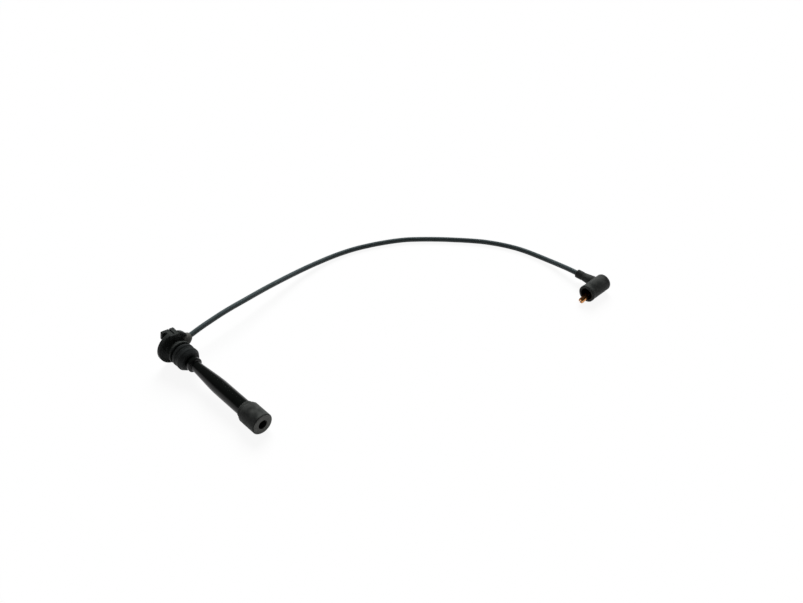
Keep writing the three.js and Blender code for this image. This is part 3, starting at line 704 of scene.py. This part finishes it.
def settle(piece):
    """Applies a piece's modifiers."""
    graph = bpy.context.evaluated_depsgraph_get()
    mesh = bpy.data.meshes.new_from_object(piece.evaluated_get(graph))
    piece.modifiers.clear()
    piece.data = mesh


def carved(piece, added, removed):
    """Joins the added shapes to a piece, then cuts the removed ones away."""
    for other, operation in [(o, "UNION") for o in added] + [(o, "DIFFERENCE") for o in removed]:
        change = piece.modifiers.new("change", "BOOLEAN")
        change.operation = operation
        change.solver = "EXACT"
        change.object = other
    settle(piece)
    for other in added + removed:
        bpy.data.objects.remove(other)
    piece.data.shade_smooth()
    piece.data.set_sharp_from_angle(angle=SHARP)
    return piece


# %% Disc, hub and flange
CAP_HALF = 3
RIM_INNER = 19
DISH_FLOOR = CAP_HALF - 1.4  # the dish is 1.4 mm deep
DISH_DRAFT = 0.7  # slope of its side, so that the mould lets go
HUB_R = 10.5
SKIRT_R = 13.6
FLANGE_R = 15.6
FLANGE_BACK = CAP_END - 3  # the flange is 3 mm thick
disc_profile = [
    (-CAP_HALF, 0), (-CAP_HALF, CAP_R), (CAP_HALF, CAP_R), (CAP_HALF, RIM_INNER),
    (DISH_FLOOR, RIM_INNER - DISH_DRAFT), (DISH_FLOOR, HUB_R),
    (FLANGE_BACK, SKIRT_R), (FLANGE_BACK, FLANGE_R), (CAP_END, FLANGE_R), (CAP_END, 0),
]
cap = turned("well_cap_moulding", softened(disc_profile, 1.2, closed=False), plug_place, closed=False)

# %% Spout and grip
SPOUT_R = 7.6
SPOUT_BACK = 8.5  # how far it runs back past the tube's line
GRIP_TOP = 20.3  # from the tube's line to the grip's flat top
GRIP_HALF = 6.75
GRIP_THICK = 6
GRIP_BACK = 11.78
GRIP_FRONT = 4
GRIP_BAR = 5
GRIP_BAR_REACH = 5  # of the bar past the pad's side
GRIP_BAR_DEPTH = 10.8
GRIP_STEP = 0.1  # the pad's faces lie this far inside the bar's
GRIP_ROUND = 0.9
WEB_HALF = 3
GRIP_LEAN = math.radians(15)  # towards the spout
grip_place = plug_place @ Matrix.Rotation(-GRIP_LEAN, 4, "X")

spout_profile = [
    (-SPOUT_BACK, 0), (-SPOUT_BACK, SPOUT_R), (SPOUT_END, SPOUT_R), (SPOUT_END, NOSE_R),
    (SPOUT_END + SPOUT_NOSE, NOSE_R), (SPOUT_END + SPOUT_NOSE, 0),
]
spout_shape = softened(spout_profile, 0.5, closed=False)
spout = turned("spout", spout_shape, spout_place, around=AROUND_SMALL, closed=False)
pad_outline = box_outline(GRIP_BAR / 2 - GRIP_BACK, -GRIP_HALF, GRIP_FRONT, GRIP_HALF - GRIP_STEP)
pad = prism("pad", pad_outline, GRIP_TOP - GRIP_THICK, GRIP_TOP - GRIP_STEP, GRIP_ROUND, grip_place)
bar_outline = box_outline(-GRIP_BACK, -GRIP_HALF - GRIP_BAR_REACH, GRIP_BAR - GRIP_BACK, GRIP_HALF)
bar = prism("bar", bar_outline, GRIP_TOP - GRIP_BAR_DEPTH, GRIP_TOP, GRIP_ROUND, grip_place)
under = GRIP_TOP - GRIP_THICK + SEAT_GAP
web_side = [(0, SPOUT_R / 2), (0, under), (1.8 - GRIP_BACK, under), (-6, SPOUT_R / 2)]
web = prism("web", web_side, -WEB_HALF, WEB_HALF, 0, grip_place @ Matrix.Rotation(math.pi / 2, 4, "X"))

# %% Passages, slot and the finished cap
CLEAR = 44  # a cutting shape ends here, clear of the cap
CAVITY_R = 4.854  # room for a crimped terminal
CAVITY_BACK = 4.3  # how far that room runs past the tube's line
FLAT_HALF = 6
SLOT_HALF = 0.9
SLOT_DEPTH = 2.6
SLOT_STOP = 3  # solid length in front of the slot
slot_outline = box_outline(-GRIP_BACK - 1, -SLOT_HALF, GRIP_FRONT - SLOT_STOP, SLOT_HALF)
slot = prism("slot", slot_outline, GRIP_TOP - SLOT_DEPTH, GRIP_TOP + 1, 0, grip_place)
flat_outline = box_outline(-FLAT_HALF, -GRIP_HALF, FLAT_HALF, GRIP_HALF)
flat = prism("flat", flat_outline, GRIP_TOP, CLEAR, 0, grip_place)
collar_room = rod(SPOUT_END, CLEAR, COLLAR_R + SEAT_GAP, spout_place)
cap = carved(cap, [], [flat, collar_room])
cable_way = rod(-CAVITY_BACK, CLEAR, CAVITY_R, spout_place)
tube_way = rod(TUBE_TOP - SEAT_GAP, CLEAR, SPIGOT_R + SEAT_GAP, plug_place)
cap = carved(cap, [spout, bar, pad, web], [slot, cable_way, tube_way])
dress(cap, pbt, "well_cap")

# %% [markdown]
# ## Coil boot
# A sleeve closed at its back, with a neck square to it for the cable, moulded in one piece of rubber. Where
# two shapes meet in rubber there is always a soft hollow. A voxel remesh and a light smoothing give that.

# %% Coil boot
COIL_END = Vector((145.05, 250.56, 11.95)) * MM  # where the sleeve's line meets the neck's
SLEEVE_R = 11.6
SLEEVE_LENGTH = 39.6
SLEEVE_END_ROUND = 2.2
SLEEVE_DEPTH = 22  # of the open bore
SLEEVE_BORE_R = 8.4
BEAD_R = 11.95  # the band round the mouth
BEAD_WIDTH = 4.2
BEAD_SLOPE = 0.4
NECK_FROM_BACK = 10.3
NECK_REACH = 37
COIL_NECK_R = 5.5
NECK_ROOT_R = 7.4
NECK_CUFF = 9  # length of the thicker end that takes the cable
NECK_CUFF_STEP = 0.45
CRIMP_START = 6.3
CRIMP_LENGTH = 9
coil_place = Matrix.Translation(COIL_END)
back_place = coil_place @ Matrix.Translation((0, NECK_FROM_BACK * MM, 0))
sleeve_place = back_place @ Matrix.Rotation(-math.pi / 2, 4, "Z")
bead = SLEEVE_LENGTH - BEAD_WIDTH
sleeve_profile = [
    (0, 0), (0, SLEEVE_R, SLEEVE_END_ROUND), (bead - BEAD_SLOPE, SLEEVE_R),
    (bead, BEAD_R), (SLEEVE_LENGTH, BEAD_R), (SLEEVE_LENGTH, 0),
]
cuff_r = COIL_NECK_R + NECK_CUFF_STEP
neck_profile = [
    (-NECK_REACH, 0), (-NECK_REACH, cuff_r), (NECK_CUFF - NECK_REACH, cuff_r),
    (NECK_CUFF + 0.5 - NECK_REACH, COIL_NECK_R), (-SLEEVE_R, NECK_ROOT_R), (0, NECK_ROOT_R), (0, 0),
]
bore_floor = SLEEVE_LENGTH - SLEEVE_DEPTH
bore_profile = [
    (bore_floor, 0), (bore_floor, SLEEVE_BORE_R), (SLEEVE_LENGTH + 1, SLEEVE_BORE_R), (SLEEVE_LENGTH + 1, 0),
]
sleeve_shape = softened(sleeve_profile, 0.8, closed=False)
neck_shape = softened(neck_profile, 0.5, closed=False)
bore_shape = softened(bore_profile, 1.2, closed=False)
coil_boot = turned("coil_boot_rubber", sleeve_shape, sleeve_place, closed=False)
neck = turned("neck", neck_shape, coil_place, around=AROUND_SMALL, closed=False)
bore = turned("bore", bore_shape, sleeve_place, closed=False)
stem_way = rod(NECK_FROM_BACK, SLEEVE_LENGTH / 2, CAVITY_R, sleeve_place)
crimp_way = rod(-CRIMP_START - CRIMP_LENGTH - SEAT_GAP, CAVITY_R, CAVITY_R, coil_place)
neck_way = rod(-NECK_REACH - 1, 0, CABLE_BORE_R, coil_place)
coil_boot = carved(coil_boot, [neck], [bore, stem_way, crimp_way, neck_way])

# %% Soft hollows
VOXEL = 0.4 * MM
remesh = coil_boot.modifiers.new("remesh", "REMESH")
remesh.mode = "VOXEL"
remesh.voxel_size = VOXEL
soften = coil_boot.modifiers.new("soften", "SMOOTH")
soften.factor = 0.5
soften.iterations = 6
settle(coil_boot)
coil_boot.data.shade_smooth()
dress(coil_boot, rubber, "coil_boot")
# painted shade: the sleeve's bore gets the darker rubber
finish_bore(coil_boot, sleeve_place, SLEEVE_BORE_R, bore_floor - 1, shaded_bore_rubber)

# %% [markdown]
# **Coil terminal.** A rolled tube of spring brass, split crosswise so that its four fingers press into the
# coil's tower. A folded strip joins it to the crimp on the cable.

# %% Coil terminal
STUB_R = 3.8
STUB_WALL = 0.6
STUB_PROUD = 12.5  # past the sleeve's mouth
STUB_DROOP = math.radians(9.5)
STUB_MOUTH_R = 1.4  # the four fingers close in to this
STUB_SLOT = 1.1
STUB_SLOT_LENGTH = 15
CRIMP_INNER = 3.8
CRIMP_R = 4.3
STRIP_HALF = 1.5
CUT_REACH = 9  # to each side, well past the tube
mouth = NECK_FROM_BACK - SLEEVE_LENGTH
root = mouth + SLEEVE_DEPTH - SEAT_GAP
stub_length = root - mouth + STUB_PROUD
inner = STUB_R - STUB_WALL
stub_profile = [
    (0, STUB_R), (stub_length - 1.9, STUB_R), (stub_length - 0.5, STUB_R - 0.7, 0.8), (stub_length, 1.9),
    (stub_length, STUB_MOUTH_R), (stub_length - 0.5, STUB_MOUTH_R), (stub_length - 1.1, inner - 0.8),
    (stub_length - 2.2, inner), (0, inner),
]
to_root = Matrix.Translation((0, root * MM, (STUB_R - CRIMP_R) * MM))
towards_mouth = Matrix.Rotation(STUB_DROOP, 4, "X") @ Matrix.Rotation(-math.pi / 2, 4, "Z")
stub_place = coil_place @ to_root @ towards_mouth
stub = turned("coil_terminal_brass", softened(stub_profile, 0.25), stub_place, around=AROUND_SMALL)
cut_outline = box_outline(stub_length - STUB_SLOT_LENGTH, -STUB_SLOT / 2, stub_length + 1, STUB_SLOT / 2)
cuts = []
for angle in (45, 135):
    turn = Matrix.Rotation(math.radians(angle), 4, "X")
    cuts.append(prism("cut", cut_outline, -CUT_REACH, CUT_REACH, 0, stub_place @ turn))
stub = carved(stub, [], cuts)

# %% Crimp and strip
barrel_profile = [
    (-CRIMP_START - CRIMP_LENGTH, CRIMP_R), (-CRIMP_START, CRIMP_R), (-CRIMP_START, CRIMP_INNER),
    (-CRIMP_START - CRIMP_LENGTH, CRIMP_INNER),
]
barrel = turned("barrel", barrel_profile, coil_place, around=AROUND_BORE)
strip_start = -CRIMP_START - 2  # 2 mm into the barrel, as it runs 2 mm into the split tube
strip_outline = [
    (strip_start, -STRIP_HALF), (-STRIP_HALF, -STRIP_HALF), (-STRIP_HALF, root - 2), (STRIP_HALF, root - 2),
    (STRIP_HALF, 0.6), (0.6, STRIP_HALF), (strip_start, STRIP_HALF),
]
strip = prism("strip", strip_outline, -CRIMP_R, -CRIMP_INNER, 0, coil_place)
stub = carved(stub, [barrel, strip], [])
dress(stub, brass, "coil_terminal")
